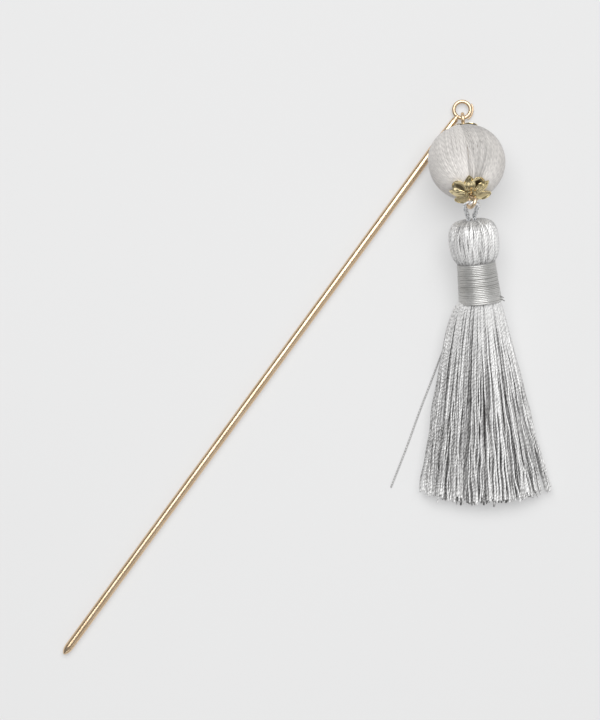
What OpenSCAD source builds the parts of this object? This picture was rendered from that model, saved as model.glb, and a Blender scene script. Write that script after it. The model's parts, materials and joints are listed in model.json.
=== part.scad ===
// Ornamental hair stick: a wire stick with an eye ring, a thread-wrapped bead
// between two flower caps on a double-eye pin, and a silk tassel on a cord loop.
// The stick lies along Y with its point towards -Y. The origin is on its axis,
// at the ring end of the plain shank. The table it lies on is stick_r below.

/* [Stick] */
// Overall length of the stick, point to the far side of the ring
stick_len = 160; // [120:1:200]
// Diameter of the shank
stick_d = 2.0; // [1.8:0.1:2.6]
// Length of the bullet-shaped point
tip_len = 2.4; // [1.6:0.1:4]
// Length of the taper between the shank and the ring
neck_len = 1.4; // [1:0.1:2.5]
// Outer diameter of the eye ring
ring_d = 4.75; // [4.6:0.05:5.2]
// Diameter of the ring's wire
ring_wire_d = 0.9; // [0.7:0.05:1]

/* [Bead] */
// Diameter of the bead over its thread
bead_d = 18; // [17:0.5:19]
// Thickness of the wound thread on the bead
wrap_t = 0.7; // [0.4:0.1:1.2]
// Distance from the bead's centre to the wire of the stick's ring
hook_reach = 13.3; // [13.1:0.1:14.5]

/* [Eye pin] */
// Diameter of the eye pin's wire
pin_d = 0.8; // [0.6:0.05:0.9]
// Mean diameter of the loop at each end of the pin
eye_d = 2.6; // [2.4:0.1:3]
// Distance from the bead's centre to the centre of the lower loop
lower_eye_reach = 11.95; // [11.9:0.05:13]

/* [Bead caps] */
// Thickness of the sheet metal
cap_t = 0.3; // [0.2:0.05:0.35]
// Distance of the petal tips from the pin's axis
petal_reach = 5.1; // [4:0.1:5.2]
// Radius of the rounded end of a wide petal
petal_round_r = 1.75; // [1.4:0.05:1.8]

/* [Tassel] */
// Diameter of one leg of the cord loop
cord_d = 1.1; // [0.8:0.05:1.2]
// Largest diameter of the tassel's head
head_d = 11.7; // [11:0.1:12.5]
// Length of the head above the binding
head_len = 10.5; // [10:0.1:12]
// Diameter over the neck binding
binding_d = 10.1; // [9.6:0.1:10.6]
// Length of the neck binding
binding_len = 9.4; // [8:0.1:11]
// Number of turns in the neck binding
binding_turns = 22; // [16:1:26]
// Length of the skirt threads below the binding
skirt_len = 46.5; // [35:0.5:55]
// Half of the width across the hem
hem_half_w = 15.4; // [11:0.1:18]
// Half of the height of the hem, lying flat
hem_half_h = 3.2; // [2.5:0.1:4]

/* [Lay on the table] */
// Angle between the stick and the pendant
pendant_angle = 40.7; // [36:0.1:90]
// Turn of the tassel against the pendant
tassel_yaw = 1.9; // [-4:0.1:4]
// Turn of the skirt against the tassel's head
skirt_yaw = -4.8; // [-6:0.1:6]
// Slope of the tassel's head, raised by its cord
tassel_slope = 9; // [7:0.5:11]

/* [Hidden] */
$fn = 64;

gold = [0.86, 0.70, 0.42];
ivory = [0.88, 0.86, 0.83];
silver = [0.68, 0.68, 0.69];
pale_wood = [0.80, 0.68, 0.50];

run_gap = 0.06; // radial clearance of what turns on the eye pin
fine_gap = 0.03; // between two links that bear on each other
lay_gap = 0.02; // between neighbouring soft solids of one body

stick_r = stick_d / 2;
ring_wire_r = ring_wire_d / 2;
ring_mean_r = ring_d / 2 - ring_wire_r;
neck_end_r = 0.62 * stick_r;
ring_y = neck_len + ring_d / 2;
shank_len = stick_len - ring_y - ring_d / 2 - tip_len;

bead_r = bead_d / 2;
core_r = bead_r - wrap_t;
bead_z = bead_r - stick_r;
bead_tilt = asin(bead_z / hook_reach);
bead_u = ring_mean_r + hook_reach * cos(bead_tilt);

pin_r = pin_d / 2;
bore_r = pin_r + run_gap;
eye_r = eye_d / 2;
eye_hole_r = eye_r - pin_r;
upper_eye_reach = hook_reach - (eye_hole_r - ring_wire_r - fine_gap);
eye_gap_deg = 22; // opening left between the loop's end and the pin

cap_in_r = bead_r + run_gap;
hub_out_r = 1.85;
hub_pos = 8.2;
petals = 4; // of each shape

cord_r = cord_d / 2;
bight_r = 1.45; // mean radius of the cord where it passes through the eye
knot_depth = 2.2; // knot centre below the top of the head
knot_r = 1.4;
knot_room_r = knot_r + 0.1;
mouth_r = 1.9;
leg_half_gap = cord_r + 0.07; // half the distance between the legs in the head
mouth_stand = 0.8; // the cord bends this far outside the head

head_r = head_d / 2;
binding_r = binding_d / 2;
mantle_t = 1.3;
neck_r = binding_r - 0.6; // inner radius of the binding
binding_wire_r = 0.25;
tie_r = 0.45;
tie_pos = 8.4;

// The lower rim of the binding rests on the table.
neck_end_z = -stick_r + binding_r * cos(tassel_slope);
tassel_top_z = neck_end_z + (head_len + binding_len) * sin(tassel_slope);
tassel_top_u = bead_u + 12.9;
knot_u = tassel_top_u + knot_depth * cos(tassel_slope);
knot_z = tassel_top_z - knot_depth * sin(tassel_slope);
lower_eye_u = bead_u + lower_eye_reach * cos(bead_tilt);
lower_eye_z = bead_z + lower_eye_reach * sin(bead_tilt);
bend_u = tassel_top_u - mouth_stand * cos(tassel_slope);
bend_z = tassel_top_z + mouth_stand * sin(tassel_slope);
cord_run = norm([bend_u - lower_eye_u, bend_z - lower_eye_z]);
cord_slope = atan2(lower_eye_z - bend_z, bend_u - lower_eye_u);
cord_seat = eye_hole_r - cord_r - fine_gap; // eye's centre to the cord's centre

locks = 5;
skirt_rings = 10;
lock_steps = 4;
flare_power = 0.77;
fan_half_deg = 19.5;
skirt_start = 1.2;
stray_d = 0.6;

// Frames ------------------------------------------------------------------

// Origin at the ring's centre, -Y along the pendant as it lies.
module in_pendant() {
    translate([0, ring_y, 0])
        rotate([0, 0, pendant_angle])
            children();
}

// Origin at the bead's centre, +Z along the pin towards the lower eye.
module in_bead() {
    in_pendant()
        translate([0, -bead_u, bead_z])
            rotate([90 - bead_tilt, 0, 0])
                children();
}

// Origin at the top of the tassel's head, +Z along the tassel to its skirt.
module in_tassel() {
    in_pendant()
        translate([0, -knot_u, knot_z])
            rotate([0, 0, tassel_yaw])
                rotate([90 + tassel_slope, 0, 0])
                    translate([0, 0, -knot_depth])
                        children();
}

// Origin at the end of the neck, -Y along the skirt, level with the table.
module in_skirt() {
    in_pendant()
        translate([0, -knot_u, 0])
            rotate([0, 0, tassel_yaw])
                translate([0, knot_u - neck_end_u(), 0])
                    rotate([0, 0, skirt_yaw])
                        children();
}

function neck_end_u() =
    knot_u + (head_len + binding_len - knot_depth) * cos(tassel_slope);

// Shapes ------------------------------------------------------------------

module torus(mean_r, wire_r) {
    rotate_extrude()
        translate([mean_r, 0])
            circle(r = wire_r);
}

// A rod of radius r from point a to point b.
module rod(a, b, r) {
    d = b - a;
    translate(a)
        rotate([0, acos(d.z / norm(d)), atan2(d.y, d.x)])
            cylinder(h = norm(d), r = r);
}

// One loop of the eye pin, in the YZ plane, open by a small gap.
module eye_loop() {
    rotate([0, 90, 0])
        rotate([0, 0, eye_gap_deg])
            rotate_extrude(angle = 360 - eye_gap_deg)
                translate([eye_r, 0])
                    circle(r = pin_r);
}

// Petal outlines seen along the pin: wide round ones, narrow pointed ones between.
module petal_outline() {
    step = 360 / petals;
    for (i = [0:petals - 1]) {
        rotate(i * step) {
            translate([petal_reach - petal_round_r, 0])
                circle(r = petal_round_r);
            translate([1, -0.7 * petal_round_r])
                square([petal_reach - petal_round_r - 1, 1.4 * petal_round_r]);
        }
        rotate((i + 0.5) * step)
            intersection() {
                lens_r = 4.2;
                lens_shift = lens_r - 0.85;
                translate([petal_reach - 2.65, lens_shift])
                    circle(r = lens_r);
                translate([petal_reach - 2.65, -lens_shift])
                    circle(r = lens_r);
            }
    }
    circle(r = 2.1);
}

// A flower cap that sits over the bead's +Z pole.
module flower_cap() {
    difference() {
        union() {
            intersection() {
                sphere(r = cap_in_r + cap_t);
                linear_extrude(height = bead_r + 2)
                    petal_outline();
            }
            translate([0, 0, hub_pos])
                sphere(r = hub_out_r);
        }
        sphere(r = cap_in_r);
        translate([0, 0, hub_pos])
            sphere(r = hub_out_r - cap_t);
        cylinder(h = 2 * bead_d, r = bore_r, center = true);
        translate([0, 0, -bead_d])
            cylinder(h = bead_d, r = bead_r);
    }
}

// Half the width, half the height and the reach of the skirt at share s of its length.
function skirt_half_w(s) =
    binding_r - 0.1 + (hem_half_w - binding_r + 0.1) * pow(s, flare_power);
function skirt_half_h(s) =
    binding_r - 0.2 + (hem_half_h - binding_r + 0.2) * pow(s, 0.8);

// A point of the skirt: s along it, u across it from -1 to 1, side 1 above or -1 below.
function skirt_point(s, u, side) =
    let (
        h = skirt_half_h(s),
        lift = side * h * sqrt(1 - pow(0.97 * u, 2)),
        reach = skirt_start + s * skirt_len * cos(u * s * fan_half_deg),
        slope_back = (1 - s) * (h + lift - binding_r) * tan(tassel_slope)
    )
    [u * skirt_half_w(s), -reach - slope_back, -stick_r + h + lift];

// One lock of skirt threads: the solid between u = u0 and u = u1.
module skirt_lock(index) {
    width = 2 / locks;
    edge = lay_gap / binding_r;
    u0 = -1 + width * index + (index > 0 ? edge : 0);
    u1 = -1 + width * (index + 1) - (index < locks - 1 ? edge : 0);
    n = 2 * (lock_steps + 1);
    points = [
        for (j = [0:skirt_rings], k = [0:n - 1])
            let (
                up = k <= lock_steps,
                f = (up ? k : n - 1 - k) / lock_steps
            )
            skirt_point(j / skirt_rings, u0 + (u1 - u0) * f, up ? 1 : -1)
    ];
    sides = [
        for (j = [0:skirt_rings - 1], k = [0:n - 1])
            [j * n + k, j * n + (k + 1) % n, (j + 1) * n + (k + 1) % n, (j + 1) * n + k]
    ];
    start = [[for (k = [0:n - 1]) n - 1 - k]];
    end = [[for (k = [0:n - 1]) skirt_rings * n + k]];
    color(silver)
        in_skirt()
            polyhedron(points = points, faces = concat(sides, start, end), convexity = 4);
}

// Half outline of the head, with its widest place above the middle.
module head_outline(shrink) {
    r = head_r - shrink;
    belly = 0.49 * head_len;
    foot_r = neck_r + 0.35 - shrink;
    steps = 10;
    polygon(concat(
        [[0, head_len]],
        [[foot_r, head_len]],
        [for (i = [1:steps])
            let (f = i / steps)
            [foot_r + (r - foot_r) * pow(sin(90 * f), 0.8), head_len - (head_len - belly) * f]],
        [for (i = [1:steps])
            let (f = 90 * i / steps)
            [r * pow(cos(f), 0.85), belly - (belly - shrink) * sin(f)]]
    ));
}

// Pieces ------------------------------------------------------------------

module hair_stick() {
    color(gold)
        rotate([90, 0, 0])
            rotate_extrude()
                difference() {
                    union() {
                        polygon([
                            [0, -neck_len],
                            [neck_end_r, -neck_len],
                            [stick_r, 0],
                            [stick_r, shank_len],
                            [0, shank_len]
                        ]);
                        intersection() {
                            ogive_r = (stick_r * stick_r + tip_len * tip_len) / (2 * stick_r);
                            translate([stick_r - ogive_r, shank_len])
                                circle(r = ogive_r, $fn = 128);
                            translate([0, shank_len - 0.1])
                                square([stick_r, tip_len * 0.94 + 0.1]);
                        }
                    }
                    translate([-2 * stick_r, -stick_len])
                        square([2 * stick_r, 2 * stick_len]);
                }
}

module eye_ring() {
    color(gold)
        translate([0, ring_y, 0])
            torus(ring_mean_r, ring_wire_r);
}

// The filler metal that joins the ring to the tapered end of the shank.
module ring_braze() {
    braze_r = 0.78;
    color(gold)
        difference() {
            translate([0, neck_len + 0.2, 0])
                sphere(r = braze_r);
            translate([0, ring_y, 0])
                torus(ring_mean_r, ring_wire_r);
            rotate([90, 0, 0])
                translate([0, 0, -neck_len])
                    cylinder(h = neck_len, r1 = neck_end_r, r2 = stick_r);
        }
}

module eye_pin() {
    color(gold)
        in_bead() {
            translate([0, 0, -upper_eye_reach + eye_r])
                cylinder(h = upper_eye_reach + lower_eye_reach - 2 * eye_r, r = pin_r);
            translate([0, 0, -upper_eye_reach])
                eye_loop();
            translate([0, 0, lower_eye_reach])
                rotate([180, 0, 0])
                    eye_loop();
        }
}

module upper_cap() {
    color(gold)
        in_bead()
            rotate([180, 0, 0])
                flower_cap();
}

module lower_cap() {
    color(gold)
        in_bead()
            flower_cap();
}

module bead_core() {
    color(pale_wood)
        in_bead()
            difference() {
                sphere(r = core_r);
                cylinder(h = bead_d, r = bore_r, center = true);
            }
}

// The wound thread, open round the pin at both poles.
module bead_wrap() {
    color(ivory)
        in_bead()
            difference() {
                sphere(r = bead_r);
                sphere(r = core_r);
                cylinder(h = 2 * bead_d, r = 1.1, center = true);
            }
}

// The cord passes through the lower eye, and its two legs run down into the head.
module cord_loop() {
    bend_at = cord_run - cord_seat - bight_r;
    color(silver)
        in_pendant() {
            translate([0, -lower_eye_u, lower_eye_z])
                rotate([90 + cord_slope, 0, 0])
                    translate([0, 0, cord_seat + bight_r]) {
                        rotate([90, 0, 0])
                            rotate([0, 0, 180])
                                rotate_extrude(angle = 180)
                                    translate([bight_r, 0])
                                        circle(r = cord_r);
                        for (side = [-1, 1])
                            rod([side * bight_r, 0, 0], [side * leg_half_gap, 0, bend_at], cord_r);
                    }
            for (side = [-1, 1])
                translate([side * leg_half_gap, -bend_u, bend_z])
                    sphere(r = 1.02 * cord_r);
            translate([0, -knot_u, knot_z])
                rotate([90 + tassel_slope, 0, 0])
                    translate([0, 0, -knot_depth - mouth_stand])
                        difference() {
                            for (side = [-1, 1])
                                translate([side * leg_half_gap, 0, 0])
                                    cylinder(h = knot_depth + mouth_stand, r = cord_r);
                            translate([0, 0, knot_depth + mouth_stand])
                                sphere(r = knot_r);
                        }
        }
}

module cord_knot() {
    color(silver)
        in_tassel()
            translate([0, 0, knot_depth])
                sphere(r = knot_r);
}

// The folded threads that show on the head, open at the top for the cord.
module head_threads() {
    color(silver)
        in_tassel()
            difference() {
                rotate_extrude()
                    difference() {
                        head_outline(0);
                        head_outline(mantle_t);
                    }
                translate([0, 0, -0.1])
                    cylinder(h = mantle_t + 0.3, r1 = mouth_r, r2 = mouth_r - 0.35);
            }
}

// The folded-over thread mass inside the head, round the knot.
module head_filler() {
    color(silver)
        in_tassel()
            difference() {
                rotate_extrude()
                    difference() {
                        head_outline(mantle_t + lay_gap);
                        translate([neck_r + 0.35 - mantle_t - 0.55, tie_pos])
                            circle(r = tie_r + lay_gap);
                    }
                translate([0, 0, knot_depth])
                    sphere(r = knot_room_r);
                cylinder(h = knot_depth, r1 = mouth_r, r2 = knot_room_r - 0.1);
            }
}

// The hidden thread that ties the bundle before the binding is wound.
module inner_tie() {
    color(silver)
        in_tassel()
            translate([0, 0, tie_pos])
                torus(neck_r + 0.35 - mantle_t - 0.55, tie_r);
}

module neck_threads() {
    color(silver)
        in_tassel()
            translate([0, 0, head_len])
                cylinder(h = binding_len, r = neck_r - lay_gap);
}

// A close winding: one ridge for each turn.
module neck_binding() {
    pitch = binding_len / binding_turns;
    color(silver)
        in_tassel()
            translate([0, 0, head_len])
                rotate_extrude() {
                    translate([neck_r, 0])
                        square([binding_r - neck_r - binding_wire_r, binding_len]);
                    for (i = [0:binding_turns - 1])
                        translate([binding_r - binding_wire_r, pitch * (i + 0.5)])
                            intersection() {
                                circle(r = binding_wire_r, $fn = 24);
                                translate([0, -pitch / 2])
                                    square([binding_wire_r, pitch]);
                            }
                }
}

// The end of the binding thread, pulled out under the last turns.
module binding_tail() {
    tail_r = 0.18;
    color(silver)
        in_tassel()
            rotate([0, 0, -20])
                translate([binding_r + tail_r + lay_gap, 0, head_len + binding_len - 1.6])
                    cylinder(h = 1.5, r = tail_r);
}

module skirt_lock_1() {
    skirt_lock(0);
}

module skirt_lock_2() {
    skirt_lock(1);
}

module skirt_lock_3() {
    skirt_lock(2);
}

module skirt_lock_4() {
    skirt_lock(3);
}

module skirt_lock_5() {
    skirt_lock(4);
}

// One thread that has come away from the skirt's edge.
module stray_thread() {
    r = stray_d / 2;
    z = -stick_r + r;
    color(silver)
        in_skirt()
            rod([-8.6, -11.5, z], [-20.3, -43.8, z], r);
}

hair_stick();
eye_ring();
ring_braze();
eye_pin();
upper_cap();
lower_cap();
bead_core();
bead_wrap();
cord_loop();
cord_knot();
head_threads();
head_filler();
inner_tie();
neck_threads();
neck_binding();
binding_tail();
skirt_lock_1();
skirt_lock_2();
skirt_lock_3();
skirt_lock_4();
skirt_lock_5();
stray_thread();
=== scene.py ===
import json
import math

import bmesh
import bpy
import numpy as np
from mathutils import Matrix, Vector


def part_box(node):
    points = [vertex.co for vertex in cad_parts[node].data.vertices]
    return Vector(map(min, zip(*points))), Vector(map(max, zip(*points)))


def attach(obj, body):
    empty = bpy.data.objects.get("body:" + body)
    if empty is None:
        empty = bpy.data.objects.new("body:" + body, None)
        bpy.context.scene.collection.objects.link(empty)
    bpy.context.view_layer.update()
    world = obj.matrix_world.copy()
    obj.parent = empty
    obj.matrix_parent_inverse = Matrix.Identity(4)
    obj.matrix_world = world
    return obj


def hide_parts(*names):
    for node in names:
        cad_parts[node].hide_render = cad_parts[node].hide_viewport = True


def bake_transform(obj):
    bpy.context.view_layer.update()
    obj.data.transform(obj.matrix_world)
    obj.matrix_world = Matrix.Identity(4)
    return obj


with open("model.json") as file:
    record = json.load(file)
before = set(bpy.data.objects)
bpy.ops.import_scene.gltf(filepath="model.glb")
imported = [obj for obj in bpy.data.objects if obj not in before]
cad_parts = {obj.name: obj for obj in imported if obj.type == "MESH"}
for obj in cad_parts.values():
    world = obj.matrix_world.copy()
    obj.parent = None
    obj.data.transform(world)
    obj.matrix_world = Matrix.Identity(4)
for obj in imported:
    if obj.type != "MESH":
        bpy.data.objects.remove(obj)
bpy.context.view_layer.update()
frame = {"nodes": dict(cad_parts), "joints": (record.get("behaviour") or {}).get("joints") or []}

MM = 0.001

# --- Sizes, in millimetres and degrees. Places come from the frame. ------------
STICK_R = 1.0
SHANK_R = 0.996  # a little less than STICK_R, as the drawn wire is never quite even
TIP_LEN = 2.4
TAPER_LEN = 9.0  # over which the shank narrows towards the ring
TAPER_R = 0.78
NECK_END_R = 0.62
RING_R = 4.75 / 2
RING_WIRE_R = 0.45
BRAZE_FROM, BRAZE_TO = 0.75, 2.0  # along the stick
PIN_WIRE_R = 0.40
HOOK_REACH = 13.3  # from the bead's centre to the ring's wire
EYE_R = 1.30
EYE_OPENING = 22  # half of the loop that is left open, for the pin to pass
EYE_TWIST = 40.0  # lower eye against the upper one
LINK_GAP = 0.03  # between two links that bear on each other
BEAD_R = 9.0
SEAM = 94.0  # round the pin, where the thread panels meet
CAP_BASE_R = 9.08
CAP_SHEET = 0.30
CAP_PETALS = 8
PETAL_FOOT = 1.0  # from the pin to where a petal starts
CORD_R = 0.55
BIGHT_R = 1.45
KNOT_DEPTH = 2.2
HEAD_LEN = 10.5
BINDING_LEN = 9.4
BINDING_TURNS = 22
BINDING_WIRE_R = 0.235
SKIRT_LEN = 46.5
SKIRT_YAW = -4.8  # against the tassel's head
SKIRT_FAN = 19.5  # of the outermost threads
SKIRT_LOCKS = 5
NECK_HALF_W = 4.85
NECK_HALF_H = 4.6
NECK_BUNDLE_R = 4.3
HEM_HALF_W = 15.4
HEM_HALF_H = 2.4
THREAD_R = 0.29
TABLE_Z = -STICK_R

# --- Local frames ------------------------------------------------------------
joints = {j["name"]: j for j in frame["joints"]}


def unit(v):
    v = np.asarray(v, float)
    return v / np.linalg.norm(v)


def place(joint):
    """A joint's position, in millimetres."""
    return np.array(joints[joint]["pos_m"]) / MM


def direction(joint):
    return unit(joints[joint]["axis"])


def turned(v, degrees):
    """v turned about +Z."""
    c, s = math.cos(math.radians(degrees)), math.sin(math.radians(degrees))
    return np.array([v[0] * c - v[1] * s, v[0] * s + v[1] * c, v[2]])


class Frame:
    """Maps local points, in millimetres, to the shared frame."""

    def __init__(self, origin, x, z):
        self.origin = np.asarray(origin, float)
        z = unit(z)
        x = unit(np.asarray(x) - np.dot(x, z) * z)
        self.axes = np.array([x, np.cross(z, x), z])

    def at(self, points):
        return np.asarray(points, float) @ self.axes + self.origin


ring_at = place("pendant_swing")
bead_at = place("bead_spin")
eye_at = place("cord_swing")
knot_at = place("tassel_sway")
neck_at = place("skirt_sway")
pin_dir = direction("bead_spin")
side_dir = -direction("cord_swing")  # level, across the pendant
tassel_dir = unit(neck_at - knot_at)
skirt_dir = turned(unit([tassel_dir[0], tassel_dir[1], 0]), SKIRT_YAW)

# Z along the stick, to its ring end
stick_frame = Frame([0, 0, 0], [1, 0, 0], [0, 1, 0])
# Z along the pin, to its lower eye
bead_frame = Frame(bead_at, side_dir, pin_dir)
# Z down the tassel, from the top of its head
head_top = knot_at - KNOT_DEPTH * tassel_dir
tassel_frame = Frame(head_top, np.cross(direction("tassel_sway"), tassel_dir), tassel_dir)
# X across, Y along the threads to the hem, Z up
skirt_frame = Frame([neck_at[0], neck_at[1], 0], np.cross(skirt_dir, [0, 0, 1]), [0, 0, 1])

# --- Random variation and curves -----------------------------------------------
rng = np.random.default_rng(7)


def any_phase():
    return rng.uniform(0, 6.28)


def uneven(along, spacing, amount):
    """Smooth random variation along a thread."""
    knots = np.arange(along[0], along[-1] + 2 * spacing, spacing)
    return np.interp(along, knots, rng.normal(0, amount, len(knots)))


def wavy(s, waves):
    """A sine with a number of waves over s from 0 to 1, starting anywhere."""
    return np.sin(2 * math.pi * (waves * s + rng.uniform()))


def ease(f):
    """From 0 to 1 with a soft start and end."""
    return f * f * (3 - 2 * f)


def bump_at(value, center, width):
    return np.exp(-((value - center) / width) ** 2)


def distance_along(path):
    return np.r_[0, np.cumsum(np.linalg.norm(np.diff(path, axis=0), axis=1))]


def smooth_path(points, step):
    """A Catmull-Rom curve through the points, with a point about every step millimetres."""
    p = np.asarray(points, float)
    p = np.vstack([2 * p[0] - p[1], p, 2 * p[-1] - p[-2]])
    fine = []
    for a, b, c, d in zip(p[:-3], p[1:-2], p[2:-1], p[3:]):
        for t in np.linspace(0, 1, 24, endpoint=False):
            fine.append(0.5 * (2 * b + (c - a) * t + (2 * a - 5 * b + 4 * c - d) * t**2
                               + (3 * b - a - 3 * c + d) * t**3))
    fine.append(p[-2])
    fine = np.array(fine)
    along = distance_along(fine)
    count = max(3, int(math.ceil(along[-1] / step)) + 1)
    want = np.linspace(0, along[-1], count)
    return np.stack([np.interp(want, along, fine[:, k]) for k in range(3)], axis=1)


def path_frames(path, hint):
    """Unit side and up vectors along a path, carried without twist. hint is the first up vector."""
    tangent = np.gradient(path, axis=0)
    tangent /= np.linalg.norm(tangent, axis=1)[:, None]
    up = np.zeros_like(path)
    u = np.asarray(hint, float)
    for i, t in enumerate(tangent):
        u = u - np.dot(u, t) * t
        u = u / np.linalg.norm(u)
        up[i] = u
    return np.cross(tangent, up), up


# --- Mesh tools --------------------------------------------------------------
def mesh_object(name, verts, faces, uv=None, tone=None):
    """A smooth object from millimetre vertices, quads or triangles, and optional per-vertex data."""
    mesh = bpy.data.meshes.new(name)
    mesh.from_pydata((np.asarray(verts) * MM).tolist(), [], faces)
    mesh.polygons.foreach_set("use_smooth", np.ones(len(mesh.polygons), bool))
    if uv is not None:
        corners = np.zeros(len(mesh.loops), np.int32)
        mesh.loops.foreach_get("vertex_index", corners)
        layer = mesh.attributes.new("thread_uv", "FLOAT2", "CORNER")
        layer.data.foreach_set("vector", np.asarray(uv, np.float32)[corners].ravel())
    if tone is not None:
        layer = mesh.attributes.new("tone", "FLOAT", "POINT")
        layer.data.foreach_set("value", np.asarray(tone, np.float32))
    mesh.update()
    obj = bpy.data.objects.new(name, mesh)
    bpy.context.scene.collection.objects.link(obj)
    return obj


def grid_faces(rows, cols, close_rows=False, close_cols=False):
    """Quads between the points of a grid, which is closed on itself where asked."""
    faces = []
    for i in range(rows if close_rows else rows - 1):
        a, b = i * cols, ((i + 1) % rows) * cols
        for k in range(cols if close_cols else cols - 1):
            k2 = (k + 1) % cols
            faces.append([a + k, b + k, b + k2, a + k2])
    return faces


def around_z(radius, height, angle):
    """Points at each radius and height, at each angle. radius has one row, or a row for each angle."""
    shape = (len(angle), np.shape(radius)[-1])
    return np.stack([radius * np.cos(angle)[:, None], radius * np.sin(angle)[:, None],
                     np.broadcast_to(height, shape)], axis=-1).reshape(-1, 3)


def full_turn(steps):
    return np.linspace(0, 2 * math.pi, steps, endpoint=False)


def merge_close(obj, distance=1e-7):
    """Joins vertices that coincide, distance in metres, and turns the faces outwards."""
    bm = bmesh.new()
    bm.from_mesh(obj.data)
    bmesh.ops.remove_doubles(bm, verts=bm.verts, dist=distance)
    bmesh.ops.recalc_face_normals(bm, faces=bm.faces)
    bm.to_mesh(obj.data)
    bm.free()
    obj.data.polygons.foreach_set("use_smooth", np.ones(len(obj.data.polygons), bool))


def lathe(name, profile, place_at, segments):
    """Turns a profile of (radius, height) points about the local Z axis."""
    profile = np.asarray(profile, float)
    points = around_z(profile[None, :, 0], profile[None, :, 1], full_turn(segments))
    obj = mesh_object(name, place_at(points), grid_faces(segments, len(profile), close_rows=True))
    merge_close(obj)
    return obj


def subdivide(obj):
    modifier = obj.modifiers.new("subdivision", "SUBSURF")
    modifier.levels = modifier.render_levels = 1


class TubeSet:
    """Collects tubes into one mesh, with a position along and round each tube for its material."""

    def __init__(self):
        self.verts, self.faces, self.uv, self.tone, self.count = [], [], [], [], 0

    def add_points(self, points, uv, tone):
        self.verts.append(points)
        self.uv.append(uv)
        self.tone.append(tone)
        self.count += len(points)

    def add(self, path, radius, sides=8, hint=(0, 0, 1), lobes=0.0, pitch=2.0, phase=0.0, slack=0.0,
            tone=0.5):
        """One thread of two yarns. lobes: depth of the grooves between them. pitch: a yarn's full turn.
        phase: where the twist starts. slack: how uneven the twist is. tone: dark (0) to light (1)."""
        path = np.asarray(path, float)
        n = len(path)
        radius = np.broadcast_to(np.asarray(radius, float), (n,))
        tone = np.broadcast_to(np.asarray(tone, float), (n,))
        along = distance_along(path)
        side, up = path_frames(path, hint)
        angle = full_turn(sides)
        twist = 2 * math.pi * along / pitch + phase
        twist = twist + slack * (np.sin(0.9 * along + phase) + 0.7 * np.sin(2.3 * along))
        groove = 1 - lobes * (1 - np.abs(np.cos(angle[None, :] - twist[:, None])))
        ring = (radius[:, None] * groove)[..., None]
        points = path[:, None, :] + ring * (np.cos(angle)[None, :, None] * side[:, None, :]
                                            + np.sin(angle)[None, :, None] * up[:, None, :])
        u = np.repeat(along, sides)
        v = (np.tile(angle, n) - np.repeat(twist, sides)) / (2 * math.pi)
        first = self.count
        last = first + (n - 1) * sides
        self.add_points(points.reshape(-1, 3), np.stack([u, v], axis=1), np.repeat(tone, sides))
        i = np.arange(n - 1)[:, None] * sides
        k = np.arange(sides)[None, :]
        k2 = (k + 1) % sides
        quads = np.stack([i + k, i + k2, i + sides + k2, i + sides + k], axis=-1).reshape(-1, 4) + first
        self.faces += quads.tolist()
        self.add_tip(path[0], path[0] - path[1], radius[0], along[0], tone[0], first, sides, True)
        self.add_tip(path[-1], path[-1] - path[-2], radius[-1], along[-1], tone[-1], last, sides, False)

    def add_tip(self, end, outward, radius, along, tone, ring, sides, is_start):
        """A low cone on the last ring of points, whose first index is ring."""
        tip = self.count
        for j in range(sides):
            a, b = ring + j, ring + (j + 1) % sides
            self.faces.append([tip, b, a] if is_start else [tip, a, b])
        point = end + 0.45 * radius * unit(outward)
        self.add_points(point[None, :], np.array([[along, 0.0]]), np.array([tone]))

    def build(self, name):
        uv, tone = np.vstack(self.uv), np.concatenate(self.tone)
        return mesh_object(name, np.vstack(self.verts), self.faces, uv, tone)


# --- Materials ---------------------------------------------------------------
class Nodes:
    """A material's node tree, with short calls to make and join nodes."""

    def __init__(self, name):
        self.material = bpy.data.materials.new(name)
        self.material.use_nodes = True
        self.tree = self.material.node_tree
        self.shader = self.tree.nodes["Principled BSDF"]

    def make(self, kind, inputs=None, **settings):
        node = self.tree.nodes.new(kind)
        for key, value in settings.items():
            setattr(node, key, value)
        for key, value in (inputs or {}).items():
            self.set(node.inputs[key], value)
        return node

    def set(self, socket, value):
        """Links the socket to an output, or sets it to a constant."""
        if isinstance(value, bpy.types.NodeSocket):
            self.tree.links.new(value, socket)
        else:
            socket.default_value = value

    def plug(self, name, value):
        self.set(self.shader.inputs[name], value)

    def attribute(self, name, output):
        node = self.make("ShaderNodeAttribute", attribute_name=name, attribute_type="GEOMETRY")
        return node.outputs[output]

    def object_spot(self):
        return self.make("ShaderNodeTexCoord").outputs["Object"]

    def noise(self, where, scale, detail, roughness=0.5):
        inputs = {"Vector": where, "Scale": scale, "Detail": detail, "Roughness": roughness}
        return self.make("ShaderNodeTexNoise", inputs).outputs[0]

    def math(self, operation, a, b=0.0, c=0.0):
        return self.make("ShaderNodeMath", {0: a, 1: b, 2: c}, operation=operation).outputs[0]

    def ramp(self, factor, stops):
        node = self.make("ShaderNodeValToRGB", {0: factor})
        elements = node.color_ramp.elements
        while len(elements) < len(stops):
            elements.new(0.5)
        for element, (position, color) in zip(elements, stops):
            element.position = position
            element.color = (*color, 1)
        return node.outputs[0]

    def map_range(self, value, low, high):
        return self.make("ShaderNodeMapRange", {"Value": value, "To Min": low, "To Max": high}).outputs[0]

    def bump(self, height, strength, distance):
        node = self.make("ShaderNodeBump", {"Height": height, "Strength": strength, "Distance": distance})
        self.plug("Normal", node.outputs[0])


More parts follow.
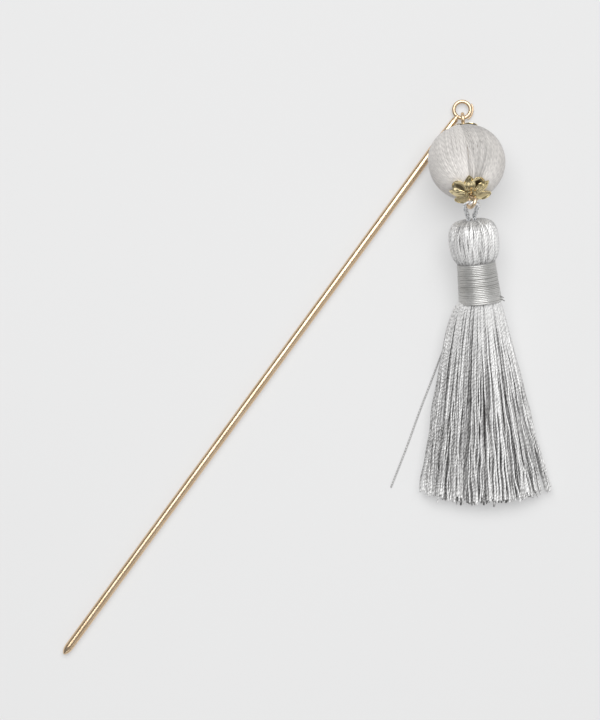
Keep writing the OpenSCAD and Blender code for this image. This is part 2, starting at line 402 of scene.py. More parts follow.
def gold_material(name, deep, pale, roughness, grain, painted_shade=None):
    """Polished gold plate: faint drawing lines, a slightly uneven tone, and painted shade where "tone" says.
    """
    n = Nodes(name)
    spot = n.object_spot()
    cloud = n.noise(spot, 160.0, 3.0)
    fine = n.noise(spot, grain, 4.0)
    color = n.ramp(cloud, [(0.3, deep), (0.7, pale)])
    # painted shade: the colour goes towards this dark where the caps' "tone" is high
    if painted_shade:
        mix = n.make("ShaderNodeMix", {"Factor": n.attribute("tone", "Fac")}, data_type="RGBA")
        n.set(mix.inputs["A"], color)
        n.set(mix.inputs["B"], (*painted_shade, 1))
        color = mix.outputs["Result"]
    n.plug("Base Color", color)
    n.plug("Roughness", n.map_range(fine, roughness * 0.75, roughness * 1.35))
    n.plug("Metallic", 1.0)
    n.bump(fine, 0.04, 0.00003)
    return n.material


def thread_material(name, tones, roughness, fibres=13.0, luster=0.5, groove=0.5, relief=0.0001, fuzz=0.4):
    """Lustrous twisted thread: fibres that follow the twist, painted shade between the yarns, and its own
    tone.
    tones: the dark, middle and light colour. fibres: how many lie round a thread. luster: how metallic it
    shines. groove: how much painted shade darkens the grooves between the yarns. relief: depth of the bump,
    in metres. fuzz: how much the fibres differ."""
    n = Nodes(name)
    spot = n.make("ShaderNodeSeparateXYZ", {0: n.attribute("thread_uv", "Vector")}).outputs
    tone = n.attribute("tone", "Fac")
    along = n.math("MULTIPLY", spot[0], 0.5)
    across = n.math("MULTIPLY", spot[1], fibres)
    own = n.math("MULTIPLY", tone, 7.0)  # so that no two threads have the same fibres
    where = n.make("ShaderNodeCombineXYZ", {0: along, 1: across, 2: own}).outputs[0]
    fibre = n.noise(where, 1.0, 3.0, 0.6)
    crest = n.math("ABSOLUTE", n.math("COSINE", n.math("MULTIPLY", spot[1], 2 * math.pi)))
    shade = n.math("MULTIPLY_ADD", fibre, fuzz, n.math("MULTIPLY_ADD", tone, 0.5, 0.5 * (0.4 - fuzz)))
    # painted shade: darker where the yarns meet, away from each crest
    shade = n.math("ADD", shade, n.math("MULTIPLY_ADD", crest, groove, -0.6 * groove))
    dark, middle, light = tones
    n.plug("Base Color", n.ramp(shade, [(0.05, dark), (0.36, middle), (0.75, light)]))
    spread = 0.75 * fuzz
    n.plug("Roughness", n.map_range(fibre, roughness * (1.05 - spread), roughness * (1.05 + spread)))
    n.plug("Metallic", luster)
    n.plug("Specular IOR Level", 0.7)
    n.bump(n.math("MULTIPLY_ADD", fibre, 1.25 * fuzz, crest), 0.9, relief)
    return n.material


def add_sheen(material, weight, roughness):
    shader = material.node_tree.nodes["Principled BSDF"]
    shader.inputs["Sheen Weight"].default_value = weight
    shader.inputs["Sheen Roughness"].default_value = roughness


def wood_material():
    n = Nodes("turned wood")
    growth = {"Vector": n.object_spot(), "Scale": 300.0, "Distortion": 5.0, "Detail": 2.0}
    rings = n.make("ShaderNodeTexWave", growth).outputs[1]
    n.plug("Base Color", n.ramp(rings, [(0.2, (0.52, 0.36, 0.20)), (0.8, (0.68, 0.50, 0.31))]))
    n.plug("Roughness", n.map_range(rings, 0.6, 0.75))
    n.bump(rings, 0.1, 0.0001)
    return n.material


def table_material():
    """Pale card. A glow of its own keeps the shadows as faint as on a lit studio table."""
    n = Nodes("pale table")
    cloud = n.noise(n.object_spot(), 3.0, 2.0)
    n.plug("Base Color", n.ramp(cloud, [(0.3, (0.31, 0.31, 0.31)), (0.7, (0.33, 0.33, 0.33))]))
    n.plug("Roughness", n.map_range(cloud, 0.55, 0.65))
    n.plug("Specular IOR Level", 0.2)
    n.plug("Emission Color", n.ramp(cloud, [(0.3, (0.98, 0.98, 0.98)), (0.7, (1.0, 1.0, 1.0))]))
    n.plug("Emission Strength", 0.42)
    return n.material


GOLD = gold_material("gold wire", deep=(0.76, 0.555, 0.35), pale=(0.84, 0.645, 0.445),
                     roughness=0.27, grain=2600.0)
# the same gold wire, painted darker as shade, for the ring, the fillet and the pin
SHADED_GOLD = gold_material("shaded gold wire", deep=(0.66, 0.50, 0.33), pale=(0.78, 0.62, 0.44),
                          roughness=0.34, grain=2200.0)
# its dark brown is painted shade and painted reflection in the caps' dishes, dots and hub
CAP_GOLD = gold_material("gold cap", deep=(0.78, 0.64, 0.34), pale=(0.86, 0.74, 0.46),
                         roughness=0.15, grain=1800.0, painted_shade=(0.10, 0.07, 0.03))
SILVER_TONES = ((0.08, 0.078, 0.076), (0.40, 0.395, 0.39), (0.97, 0.965, 0.955))
BINDING_TONES = ((0.20, 0.195, 0.19), (0.42, 0.415, 0.40), (0.78, 0.775, 0.76))
CORD_TONES = ((0.05, 0.052, 0.06), (0.50, 0.51, 0.53), (0.98, 0.99, 1.0))
IVORY_TONES = ((0.28, 0.269, 0.257), (0.48, 0.460, 0.439), (0.84, 0.805, 0.77))
SILVER = thread_material("silver rayon thread", SILVER_TONES, 0.38, luster=0.28, groove=0.24, relief=0.00004)
LOOSE = thread_material("loose silver thread", SILVER_TONES, 0.34, luster=0.36, groove=0.28, relief=0.00006,
                        fuzz=0.3)
BINDING = thread_material("silver binding thread", BINDING_TONES, 0.36, fibres=5.0, luster=0.55, groove=0.0,
                          relief=0.00002)
CORD = thread_material("silver cord yarn", CORD_TONES, 0.28, luster=0.2)
IVORY = thread_material("ivory silk thread", IVORY_TONES, 0.58, fibres=9.0, luster=0.04, groove=0.12,
                        relief=0.00003)
add_sheen(IVORY, 0.25, 0.5)
WOOD = wood_material()


def give(obj, material, body, node):
    """Gives the piece its material and body, and hides the CAD node that it stands for."""
    obj.data.materials.clear()
    obj.data.materials.append(material)
    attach(obj, body)
    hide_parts(node)


# --- Stick -------------------------------------------------------------------
def make_stick():
    """The shank: a flat neck end, a taper, a slightly wavy drawn wire and a bullet point."""
    low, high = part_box("hair_stick")
    tip_y, neck_y = low.y / MM, high.y / MM
    shank_end = tip_y + TIP_LEN
    profile = [(0, neck_y), (NECK_END_R - 0.12, neck_y), (NECK_END_R, neck_y - 0.08)]
    for f in np.linspace(0.08, 1, 8):
        profile.append((NECK_END_R + (TAPER_R - NECK_END_R) * ease(f), neck_y * (1 - f)))
    for y in np.linspace(-0.5, shank_end, 96):
        wave = 0.004 * math.sin(0.9 * y) + 0.003 * math.sin(2.3 * y + 1)
        full = min(-y / TAPER_LEN, 1)
        profile.append((TAPER_R + (SHANK_R - TAPER_R) * math.sin(full * math.pi / 2) + wave, y))
    # the point is nearly an ellipse, a little sharper
    for f in np.linspace(0.12, 1, 14):
        profile.append((STICK_R * max(1 - f**2.1, 0) ** 0.62, shank_end - TIP_LEN * f))
    stick = lathe("stick_shank", profile, stick_frame.at, segments=64)
    give(stick, GOLD, "stick", "hair_stick")
    subdivide(stick)


def make_ring():
    """The ring of wire, closed, with the wire's thinned end lapping it on the outside."""
    center_r = RING_R - RING_WIRE_R
    segments, sides = 128, 24
    around = full_turn(sides)
    points = around_z(center_r + RING_WIRE_R * np.cos(around)[None, :], RING_WIRE_R * np.sin(around),
                      full_turn(segments))
    faces = grid_faces(segments, sides, close_rows=True, close_cols=True)
    # the lap covers the ring's right side and is pressed close at its middle
    steps = 40
    turn = np.radians(np.linspace(-22, 70, steps))
    reach = center_r + RING_WIRE_R + 0.22 - 0.10 * np.sin(np.linspace(0, math.pi, steps)) ** 2
    lap_r = 0.20 * np.sin(np.linspace(0.35, math.pi - 0.25, steps)) ** 0.4
    lap_path = np.stack([reach * np.cos(turn), reach * np.sin(turn), np.full(steps, -0.25)], axis=-1)
    lap = TubeSet()
    lap.add(lap_path, lap_r, sides=12)
    faces += [[i + len(points) for i in face] for face in lap.faces]
    ring = mesh_object("ring_of_wire", np.vstack([points] + lap.verts) + ring_at, faces)
    give(ring, SHADED_GOLD, "stick", "eye_ring")


def make_braze():
    """A waisted fillet between the taper and the ring's wire."""
    profile = [(0, BRAZE_FROM + 0.05)]
    for f in np.linspace(0, 1, 14):
        waist = 0.80 - 0.10 * math.sin(math.pi * f) + 0.02 * math.sin(9 * f)
        profile.append((waist * (1 - 0.25 * f), BRAZE_FROM + (BRAZE_TO - BRAZE_FROM) * f))
    profile.append((0, BRAZE_TO + 0.05))
    braze = lathe("ring_braze_fillet", profile, stick_frame.at, segments=48)
    give(braze, SHADED_GOLD, "stick", "ring_braze")


# --- Eye pin -----------------------------------------------------------------
def eye_path(center_z, toward, twist):
    """From the shank round the loop. toward is +1 where the shank is above the loop in local Z."""
    plane = np.array([math.sin(math.radians(twist)), math.cos(math.radians(twist)), 0])
    axis = np.array([0, 0, toward])
    center = np.array([0, 0, center_z])
    points = [center + axis * (EYE_R + 1.0), center + axis * (EYE_R + 0.55)]
    for t in np.radians(np.linspace(EYE_OPENING, 360 - EYE_OPENING, 22)):
        points.append(center + EYE_R * (math.cos(t) * axis + math.sin(t) * plane))
    return points


def make_eye_pin():
    upper = -(HOOK_REACH - (EYE_R - PIN_WIRE_R - RING_WIRE_R - LINK_GAP))
    lower = (eye_at - bead_at) @ pin_dir
    shank = [np.array([0, 0, z]) for z in (-8, -4, 0, 4, 8)]
    path = smooth_path(eye_path(upper, +1, 0.0)[::-1] + shank + eye_path(lower, -1, EYE_TWIST), 0.12)
    wire = TubeSet()
    wire.add(bead_frame.at(path), PIN_WIRE_R, sides=20, hint=side_dir)
    pin = wire.build("eye_pin_wire")
    give(pin, SHADED_GOLD, "pin", "eye_pin")


# --- Bead caps ---------------------------------------------------------------
def on_sphere(reach, offset, azimuth, height):
    """A point on the cap: reach along a petal and offset across it, both measured over the bead."""
    turn = azimuth + np.arctan2(offset, reach)
    polar = np.hypot(reach, offset) / CAP_BASE_R
    r = CAP_BASE_R + height
    out = r * np.sin(polar)
    return np.stack([out * np.cos(turn), out * np.sin(turn), r * np.cos(polar)], axis=-1)


def wide_petal(f, w):
    """A round petal, dished, with a raised rim. f runs along it and w across it, from -1 to 1.
    Gives its reach, offset, height and painted shade."""
    tip, foot_half, end_r = 5.0, 0.75, 1.62
    reach = PETAL_FOOT + (tip - PETAL_FOOT) * f
    middle = tip - end_r
    swell = ease(np.clip((reach - PETAL_FOOT) / (middle - PETAL_FOOT), 0, 1))
    past = np.clip((reach - middle) / end_r, 0, 1)
    half = np.where(reach > middle, end_r * np.sqrt(np.maximum(1 - past**2, 0.0)),
                    foot_half + (end_r - foot_half) * swell)
    edge = np.clip(np.hypot(w, np.clip((f - 0.45) / 0.55, 0, 1)), 0, 1.1) ** 2.4
    height = 0.02 + 0.48 * edge * np.clip(f * 2.2, 0, 1)
    # painted reflection: dark in the middle of the dish
    painted_shade = np.clip(1.5 - 2.6 * edge, 0, 1) * np.clip(f * 4, 0, 1)
    return reach, np.maximum(half, 0.02) * w, height, painted_shade


def narrow_petal(f, w):
    """A pointed petal with fine ridges and a dot punched near its tip, in the same terms."""
    tip, widest, half_w = 5.1, 2.9, 1.32
    reach = PETAL_FOOT + (tip - PETAL_FOOT) * f
    g = np.where(reach < widest, (widest - reach) / (widest - PETAL_FOOT), (reach - widest) / (tip - widest))
    half = np.where(reach < widest, half_w - 0.6 * g**2, half_w * (1 - g**1.9) ** 0.9)
    offset = np.maximum(half, 0.02) * w
    ridge = np.cos(w * math.pi / 2) ** 0.8
    swell = np.sin(math.pi * np.clip(f, 0.05, 1) ** 0.7) ** 0.6
    dot = np.exp(-((reach - (tip - 0.85)) ** 2 + offset**2) / 0.04)
    height = 0.26 + 0.20 * ridge * swell + 0.035 * np.cos(w * math.pi * 5) * swell - 0.16 * f**2 - 0.13 * dot
    # painted shade: darker towards the foot by the hub, and in the punched dot
    painted_shade = np.clip(0.3 * (1 - f) + 0.9 * dot, 0, 1)
    return reach, offset, height, painted_shade


def petal(outline, azimuth, lift):
    """One petal as a closed sheet: its points, faces and painted shade. lift scales how far it stands up."""
    rows, cols = 28, 21
    f, w = np.meshgrid(np.sin(np.linspace(0, math.pi / 2, rows)), np.linspace(-1, 1, cols), indexing="ij")
    reach, offset, height, painted_shade = outline(f, w)
    bottom = on_sphere(reach, offset, azimuth, lift * height)
    top = on_sphere(reach, offset, azimuth, lift * height + CAP_SHEET * 0.6)
    n = rows * cols
    faces = grid_faces(rows, cols)
    faces += [[n + i for i in reversed(face)] for face in faces]
    rim = [k for k in range(cols)]
    rim += [i * cols + cols - 1 for i in range(1, rows)]
    rim += [(rows - 1) * cols + k for k in range(cols - 2, -1, -1)]
    rim += [i * cols for i in range(rows - 2, 0, -1)]
    for a, b in zip(rim, rim[1:] + rim[:1]):
        faces.append([a, b, n + b, n + a])
    return np.vstack([bottom.reshape(-1, 3), top.reshape(-1, 3)]), faces, np.tile(painted_shade.ravel(), 2)


def hub():
    """The raised, fluted middle of the cap, with a hole: its points, faces and painted shade."""
    outer = []
    for a in np.radians(np.linspace(0, 90, 12)):
        outer.append((0.52 + 0.75 * math.sin(a), 9.15 + 0.6 * max(math.cos(a), 0) ** 0.8))
    outer.append((1.6, 9.06))
    inner = [(r - 0.02 if r > 0.6 else r, z - CAP_SHEET) for r, z in reversed(outer)]
    section = np.array(outer + inner)
    segments = 64
    angle = full_turn(segments)
    flute = 1 + 0.035 * np.cos(8 * angle)[:, None] * (section[None, :, 0] > 0.8)
    points = around_z(section[None, :, 0] * flute, section[:, 1], angle)
    faces = grid_faces(segments, len(section), close_rows=True, close_cols=True)
    # painted shade and painted reflection round the hole, even over the hub
    return points, faces, np.full(len(points), 0.4)


def make_cap(name, node, body, turn, bends, shade_strengths, lift, flip=False):
    """Pointed and round petals in turn. bends: degrees that each was bent aside. shade_strengths: how dark
    each one's painted shade is. The cap can be flipped to the upper pole."""
    parts = []
    for k, (bend, shade_strength) in enumerate(zip(bends, shade_strengths)):
        outline = wide_petal if k % 2 else narrow_petal
        points, faces, painted_shade = petal(outline, math.radians(turn + 360 / CAP_PETALS * k + bend), lift)
        parts.append((points, faces, shade_strength * painted_shade))
    parts.append(hub())
    all_faces, first = [], 0
    for points, faces, _ in parts:
        all_faces += [[i + first for i in face] for face in faces]
        first += len(points)
    verts = np.vstack([points for points, _, _ in parts])
    tone = np.concatenate([painted_shade for _, _, painted_shade in parts])
    if flip:
        verts = verts * np.array([1, -1, -1])
    cap = mesh_object(name, bead_frame.at(verts), all_faces, tone=tone)
    merge_close(cap)
    give(cap, CAP_GOLD, body, node)
    subdivide(cap)


def make_caps():
    # shade_strengths scale the painted shade of each petal
    make_cap("lower_flower_cap", "lower_cap", "lower_cap", turn=92.0, bends=(0, 1, 2, 5, 10, 17, 27, 13),
             shade_strengths=(1, 0.7, 1, 0.25, 1, 0.45, 1, 1), lift=1.0)
    make_cap("upper_flower_cap", "upper_cap", "upper_cap", turn=-20.0, bends=(0, 3, -2, 1, 4, -3, 0, 2),
             shade_strengths=(0.6,) * CAP_PETALS, lift=0.15, flip=True)


# --- Thread-wound bead ---------------------------------------------------------
POLAR = np.radians(np.linspace(7, 173, 84))  # of a bead thread's points, from the upper pole
POLAR_DEG = np.degrees(POLAR)
LOWER_HALF = 1 / (1 + np.exp(-(POLAR_DEG - 97) / 5))  # 0 above the middle, 1 below it
NEAR_LOWER_CAP = np.clip((POLAR_DEG - 112) / 35, 0, 1)


def wind_thread(threads, azimuth, radius, size, lean, tone):
    """One thread from pole to pole. lean: how far it moves aside on its way, in degrees."""
    lam = np.radians(azimuth + lean + rng.uniform(-0.3, 0.3) + 0.25 * np.sin(3 * POLAR + any_phase()))
    path = np.stack([radius * np.sin(POLAR) * np.cos(lam), radius * np.sin(POLAR) * np.sin(lam),
                     -radius * np.cos(POLAR)], axis=-1)
    across = np.array([-math.sin(lam[0]), math.cos(lam[0]), 0.01])
    threads.add(bead_frame.at(path), size, sides=6, hint=across @ bead_frame.axes, lobes=0.10, pitch=3.2,
                phase=any_phase(), tone=np.clip(tone, 0, 1))


def wind_under_layer(threads):
    """Seen where the panels part, and painted dark as the shade beneath them."""
    for azimuth in np.linspace(0, 360, 110, endpoint=False):
        wind_thread(threads, azimuth, BEAD_R - 0.62, 0.26, 0, rng.normal(0.22, 0.14))


def wind_right_panel(threads):
    """Leans over at the middle of the front, and is straight at the far side. A strip of it lies sunk."""
    for azimuth in np.linspace(-170, -2, 62):
        lean = 15 * np.exp(-(azimuth / 55) ** 2) * np.cos(POLAR)
        rim = np.clip((-azimuth - 60) / 35, 0, 1)
        # painted light at the far rim and near the lower cap; painted shade near the upper pole and on the
        # sunk strip
        tone = (0.42 + rng.normal(0, 0.08) + 0.18 * rim
                - 0.50 * bump_at(POLAR_DEG, 50, 24) + 0.48 * NEAR_LOWER_CAP
                - (0.48 + rng.normal(0, 0.30)) * bump_at(azimuth, -22, 20) * LOWER_HALF)
        sink = 0.24 * bump_at(azimuth, -22, 18) * LOWER_HALF
        wind_thread(threads, SEAM + azimuth, BEAD_R - 0.42 - sink, 0.23 - 0.35 * sink, lean, tone)


def wind_left_panel(threads):
    """Lies on top, fuller at the side, with its edge swinging left near the upper pole."""
    for azimuth in np.linspace(0, 188, 92):
        lean = 10 * np.exp(-azimuth / 70) * np.clip((85 - POLAR_DEG) / 50, 0, 1)
        at_side = np.clip((azimuth - 20) / 60, 0, 1) * np.clip((150 - azimuth) / 35, 0, 1)
        fuller = 0.38 * at_side * bump_at(POLAR_DEG, 62, 27)
        rim = np.clip((azimuth - 45) / 35, 0, 1)
        # painted light at the side rim and near the lower cap; painted shade near the upper pole
        tone = (0.52 + rng.normal(0, 0.065) * (1 + 1.5 * NEAR_LOWER_CAP) + 0.24 * rim
                - 0.16 * bump_at(POLAR_DEG, 36, 22) + 0.48 * NEAR_LOWER_CAP)
        wind_thread(threads, SEAM + azimuth, BEAD_R - 0.23 + fuller, 0.23, lean, tone)


def make_bead():
    threads = TubeSet()
    wind_under_layer(threads)
    wind_right_panel(threads)
    wind_left_panel(threads)
    bead = threads.build("silk_winding")
    give(bead, IVORY, "bead", "bead_wrap")


# --- Cord loop -----------------------------------------------------------------
def cord_path():
    """From the knot up one side, over the lower eye and down the other side to the knot."""
    mouth = tassel_frame.at([[0, 0, -0.3]])[0]
    run = unit(mouth - eye_at)
    bight = eye_at + (EYE_R - PIN_WIRE_R - CORD_R - LINK_GAP + BIGHT_R) * run
    half_gap = 0.72  # between the legs where they enter the head
    legs = []
    for side in (-side_dir, side_dir):
        legs.append([
            knot_at + 0.8 * half_gap * side,
            mouth + half_gap * side + 0.8 * tassel_dir,
            mouth + half_gap * side - 0.15 * run,
            mouth + (half_gap + 0.30) * side - 2.2 * run,
            bight + (BIGHT_R - 0.06) * side + 1.6 * run,
            bight + BIGHT_R * side])
    arch = [bight + BIGHT_R * (-math.cos(a) * side_dir - math.sin(a) * run)
            for a in np.radians(np.linspace(0, 180, 9))[1:-1]]
    return smooth_path(legs[0] + arch + legs[1][::-1], 0.09)


def make_cord():
    """Two plies, each of two yarns, twisted round each other."""
    path = cord_path()
    side, up = path_frames(path, tassel_dir)
    ply_pitch, ply_offset, ply_r = 2.8, 0.31, 0.26
    cord = TubeSet()
    for ply in range(2):
        a = (2 * math.pi * distance_along(path) / ply_pitch + math.pi * ply)[:, None]
        cord.add(path + ply_offset * (np.cos(a) * side + np.sin(a) * up), ply_r, sides=18, hint=tassel_dir,
                 lobes=0.15, pitch=-2.2, tone=0.9 - 0.25 * ply)
    loop = cord.build("twisted_cord")
    give(loop, CORD, "cord", "cord_loop")


# --- Tassel head, binding and skirt ----------------------------------------------
# The head's outline: distance below its top, and radius.
HEAD_OUTLINE = [
    (1.9, 0.95), (1.05, 1.15), (0.66, 1.9), (0.70, 3.0), (1.05, 4.1), (1.75, 5.0), (2.9, 5.6), (4.4, 5.85),
    (6.1, 5.86), (7.6, 5.72), (8.8, 5.42), (9.7, 4.98), (10.3, 4.50), (10.7, 4.15), (11.4, 4.03),
    (12.6, 4.03)]


def make_head():
    """Two layers of folded threads, which come up from the neck and turn in round the cord."""
    threads = TubeSet()
    outline = smooth_path([(depth, radius, 0) for depth, radius in HEAD_OUTLINE], 0.09)
    depth, radius = outline[:, 0], outline[:, 1]
    s = np.linspace(0, 1, len(depth))
    size = 0.265 * np.clip(0.50 + radius / 9, 0.62, 1.0)
    for layer, count in enumerate((72, 64)):
        for i in range(count):
            sway = (0.024 * wavy(s, 1.3) + 0.013 * wavy(s, 3.1)) * np.clip(radius / 4, 0, 1)
            lam = 2 * math.pi * (i + 0.5 * layer) / count + sway + 0.10 * (s - 0.5)
            r = radius - THREAD_R * 0.9 - 0.24 * layer + rng.normal(0, 0.03)
            path = np.stack([r * np.cos(lam), r * np.sin(lam), depth + 0.2 * layer], axis=-1)
            # painted shade on the inner layer, where the threads turn in at the top, and next to the binding
            tone = (0.82 - 0.35 * layer + rng.normal(0, 0.12) + uneven(14 * s, 1.1, 0.12)
                    - 0.40 * bump_at(depth, 0.9, 2.2) - 0.3 * bump_at(depth, 10.6, 1.4))
            threads.add(tassel_frame.at(path), size, sides=10, hint=tassel_dir * 0.2 + [0.01, 0.02, 1],
                        lobes=0.2, pitch=-rng.uniform(1.4, 1.9), slack=0.7, phase=any_phase(),
                        tone=np.clip(tone, 0, 1))
    head = threads.build("head_of_folded_threads")
    give(head, SILVER, "tassel", "head_threads")


def binding_radius(f):
    """Radius of the neck under the binding, from its head end (0) to its skirt end (1)."""
    return 4.12 + 0.55 * f**1.2


def make_binding():
    turns, per_turn = BINDING_TURNS, 64
    f = np.linspace(0, 1, turns * per_turn + 1)
    turn = f * turns
    z_jitter = np.interp(turn, np.arange(2 * turns + 1) / 2, rng.normal(0, 0.03, 2 * turns + 1))
    z = HEAD_LEN + 0.1 + (BINDING_LEN - 0.2) * f + z_jitter
    r_jitter = np.interp(turn, np.arange(turns + 1), rng.normal(0, 0.02, turns + 1))
    r = binding_radius(f) + BINDING_WIRE_R * 0.8 + r_jitter
    angle = -2 * math.pi * turn
    path = np.stack([r * np.cos(angle), r * np.sin(angle), z], axis=-1)
    last = np.clip((f - 0.84) / 0.05, 0, 1)  # the last turns are looser and paler
    tone = 0.5 + 0.18 * last + np.interp(turn, np.arange(turns + 1), rng.normal(0, 0.09, turns + 1))
    untwisted = 1e6
    coil = TubeSet()
    coil.add(tassel_frame.at(path), BINDING_WIRE_R * (1 + 0.10 * last), sides=10, hint=tassel_dir,
             pitch=untwisted, tone=np.clip(tone, 0, 1))
    binding = coil.build("binding_coil")
    give(binding, BINDING, "tassel", "neck_binding")


def make_binding_end():
    """Two short ends that stick out under the last turns."""
    r = binding_radius(0.9) + 0.5
    tails = TubeSet()
    for turn, start_z, out in ((16, 18.9, 0.35), (9, 19.7, 0.55)):
        a = math.radians(turn)
        outward = np.array([math.cos(a), math.sin(a), 0.4])
        points = []
        for g in np.linspace(-0.5, 1, 6):
            on_neck = np.array([r * math.cos(a - 0.25 * g), r * math.sin(a - 0.25 * g), start_z + 0.4 * g])
            points.append(on_neck + out * g * g * outward)
        path = tassel_frame.at(smooth_path(points, 0.1))
        tails.add(path, 0.13, sides=6, hint=tassel_dir, pitch=1.0, tone=0.1)
    end = tails.build("binding_end")
    give(end, BINDING, "tassel", "binding_tail")


def skirt_half_w(s, u):
    """Half width at s, from the neck (0) to the hem (1). The left side (u = -1) flares sooner."""
    hem = HEM_HALF_W - 0.45 + 0.50 * u
    return NECK_HALF_W + (hem - NECK_HALF_W) * s ** (0.72 + 0.19 * u)


def skirt_half_h(s):
    return NECK_HALF_H + (HEM_HALF_H - NECK_HALF_H) * s**0.7


def skirt_places():
    """Each thread's place in the skirt's section, shell by shell: across (u), up (v), its shell,
    and how far it sinks in once it is clear of the neck."""
    for shell, count in enumerate((66, 58, 48, 38, 28)):
        for i in range(count):
            angle = math.pi * (i + 0.5 + rng.normal(0, 0.30)) / count
            size, sunk = 1 - 0.17 * shell, abs(rng.normal(0, 0.05))
            yield size * math.cos(angle), size * math.sin(angle), shell, sunk / size
    # the underside, which lies on the table
    for shell, count in enumerate((40, 26)):
        for i in range(count):
            angle = math.pi * (i + 0.5) / count
            size = 0.98 - 0.3 * shell
            yield size * math.cos(angle), -size * math.sin(angle), shell, 0


def skirt_thread(s, u, v, sunk):
    """Path of one thread. s runs from the neck (0, or just inside it) to the hem (1)."""
    out = np.clip(s, 0, 1)
    slope = math.atan2(-tassel_dir[2], np.linalg.norm(tassel_dir[:2]))
    lying = ease(np.clip(out / 0.22, 0, 1))  # 0 in the neck, 1 once the threads follow the table
    length = SKIRT_LEN + rng.normal(0, 0.5)
    inward = 1 - sunk * np.clip(out / 0.3, 0.2, 1)
    u = u * inward + rng.normal(0, 0.022) * out
    wave = 0.22 * out**0.8 * (wavy(out, rng.uniform(1.0, 2.8)) + 0.5 * wavy(out, rng.uniform(4, 7)))
    x = u * (skirt_half_w(out, u) - THREAD_R) + wave + rng.normal(0, 0.5) * out**2
    y = length * s * np.cos(u * math.radians(SKIRT_FAN) * out)
    half_h = skirt_half_h(out) - THREAD_R
    z_lying = TABLE_Z + THREAD_R + half_h + v * inward * half_h + 0.15 * out * wavy(out, 1.1)
    z_neck = neck_at[2] + v * inward * NECK_BUNDLE_R - math.sin(slope) * length * s
    z = np.maximum(z_neck * (1 - lying) + z_lying * lying, TABLE_Z + THREAD_R)
    return skirt_frame.at(np.stack([-x, y, z], axis=-1))


def make_skirt():
    """Every thread of the skirt, sorted into locks from side to side."""
    locks = [TubeSet() for _ in range(SKIRT_LOCKS)]
    lock_width = 2 / SKIRT_LOCKS
    for u, v, shell, sunk in skirt_places():
        # the rings of neighbouring threads stay out of step
        s = np.linspace(-0.035 - rng.uniform(0, 0.004), 1, 270)
        path = skirt_thread(s, u, v, sunk)
        below = np.clip(s / 0.4, 0, 1)  # further down, deeper threads are darker and threads differ more
        # painted shade on the deeper shells, and painted light near the neck that fades further down
        tone = (0.90 - (0.06 + 0.34 * below) * min(shell, 2) - 0.22 * below
                + rng.normal() * (0.08 + 0.18 * below)
                + uneven(SKIRT_LEN * s, 1.3, 0.09) + 0.3 * np.clip((s - 0.9) / 0.1, 0, 1))
        lock = locks[min(SKIRT_LOCKS - 1, max(0, int((u + 1) / lock_width)))]
        size = 0.215 * (1 + rng.normal(0, 0.12))
        lock.add(path, size, sides=9, lobes=0.14, pitch=-rng.uniform(1.5, 2.3), slack=0.8, phase=any_phase(),
                 tone=np.clip(tone, 0, 1))
    for k, lock in enumerate(locks):
        obj = lock.build(f"skirt_threads_{k + 1}")
        obj.data.materials.append(LOOSE)
        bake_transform(obj)
        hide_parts(f"skirt_lock_{k + 1}")


def make_stray():
    """The thread that has come away from the skirt's left edge and lies on the table."""
    points = [(4.0, 1.5, 3.0), (6.6, 6.0, 1.2), (9.3, 12.0, -0.66), (11.9, 18.3, -0.7), (14.7, 25.0, -0.7),
              (18.0, 33.4, -0.7), (21.9, 42.6, -0.7)]
    stray = TubeSet()
    stray.add(skirt_frame.at(smooth_path(points, 0.25)), 0.22, sides=8, lobes=0.25, pitch=-1.4, tone=0.35)
    obj = stray.build("loose_thread")
    give(obj, SILVER, "skirt", "stray_thread")


def dress_hidden():
    """The pieces inside the bead and the head keep their CAD shape."""
    for node, material in (("bead_core", WOOD), ("cord_knot", CORD), ("head_filler", SILVER),
                           ("inner_tie", BINDING), ("neck_threads", SILVER)):
        mesh = frame["nodes"][node].data
        mesh.materials.clear()
        mesh.materials.append(material)


# --- Stage -------------------------------------------------------------------
VIEW_TURN = 36.2  # degrees between the picture's upright and the stick
CAMERA_HEIGHT = 1200.0
FIELD_HEIGHT = 168.2  # of the table, in the picture
SENSOR = 36.0
right_dir = turned(np.array([1.0, 0, 0]), VIEW_TURN)
up_dir = turned(np.array([0, 1.0, 0]), VIEW_TURN)
# the middle of the picture, on the table
aim = ring_at - 37.84 * right_dir - 58.40 * up_dir
aim[2] = TABLE_Z


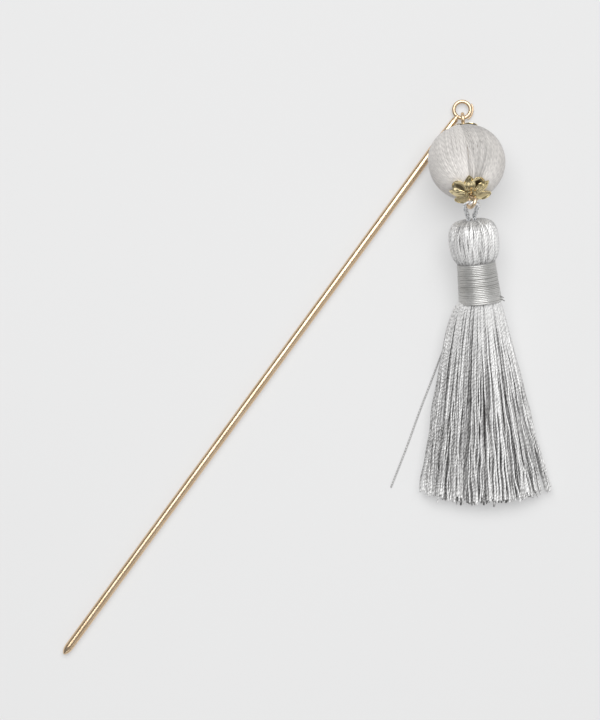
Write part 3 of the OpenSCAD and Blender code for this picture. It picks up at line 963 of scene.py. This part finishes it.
def make_camera():
    """Looks straight down on the table."""
    data = bpy.data.cameras.new("camera")
    data.sensor_fit = "VERTICAL"
    data.sensor_height = SENSOR
    data.lens = SENSOR * CAMERA_HEIGHT / FIELD_HEIGHT
    data.clip_start = 0.01
    data.clip_end = 20
    camera = bpy.data.objects.new("camera", data)
    bpy.context.scene.collection.objects.link(camera)
    camera.matrix_world = Matrix((
        (right_dir[0], up_dir[0], 0, aim[0] * MM),
        (right_dir[1], up_dir[1], 0, aim[1] * MM),
        (0, 0, 1, (aim[2] + CAMERA_HEIGHT) * MM),
        (0, 0, 0, 1)))
    bpy.context.scene.camera = camera


def make_table():
    half_size, count = 3200.0, 24
    steps = np.linspace(-half_size, half_size, count)
    faces = [face[::-1] for face in grid_faces(count, count)]
    table = mesh_object("table", [(x, y, TABLE_Z) for y in steps for x in steps], faces)
    table.data.materials.append(table_material())


def area_light(name, offset, size, power):
    """A soft box at an offset from the middle of the picture: right, up, height, in metres."""
    data = bpy.data.lights.new(name, "AREA")
    data.shape = "RECTANGLE"
    data.size, data.size_y = size
    data.energy = power
    light = bpy.data.objects.new(name, data)
    bpy.context.scene.collection.objects.link(light)
    center = Vector(aim * MM)
    right, up, height = offset
    spot = center + Vector(right_dir * right) + Vector(up_dir * up) + Vector((0, 0, height))
    light.location = spot
    light.rotation_euler = (center - spot).to_track_quat("-Z", "Y").to_euler()


def make_light():
    area_light("main", (0.06, 0.66, 1.33), (1.6, 1.2), 29.5)
    area_light("front_card", (0.1, -1.2, 0.75), (1.2, 0.35), 1.7)
    area_light("right_card", (1.1, -0.5, 0.7), (1.2, 1.0), 1.8)
    world = bpy.data.worlds.new("studio")
    world.use_nodes = True
    background = world.node_tree.nodes["Background"]
    background.inputs["Color"].default_value = (0.97, 0.98, 1.0, 1)
    background.inputs["Strength"].default_value = 0.20
    bpy.context.scene.world = world
    bpy.context.scene.view_settings.view_transform = "Standard"


make_camera()
make_stick()
make_ring()
make_braze()
make_eye_pin()
make_caps()
make_bead()
make_cord()
make_head()
make_binding()
make_binding_end()
make_skirt()
make_stray()
dress_hidden()
make_table()
make_light()
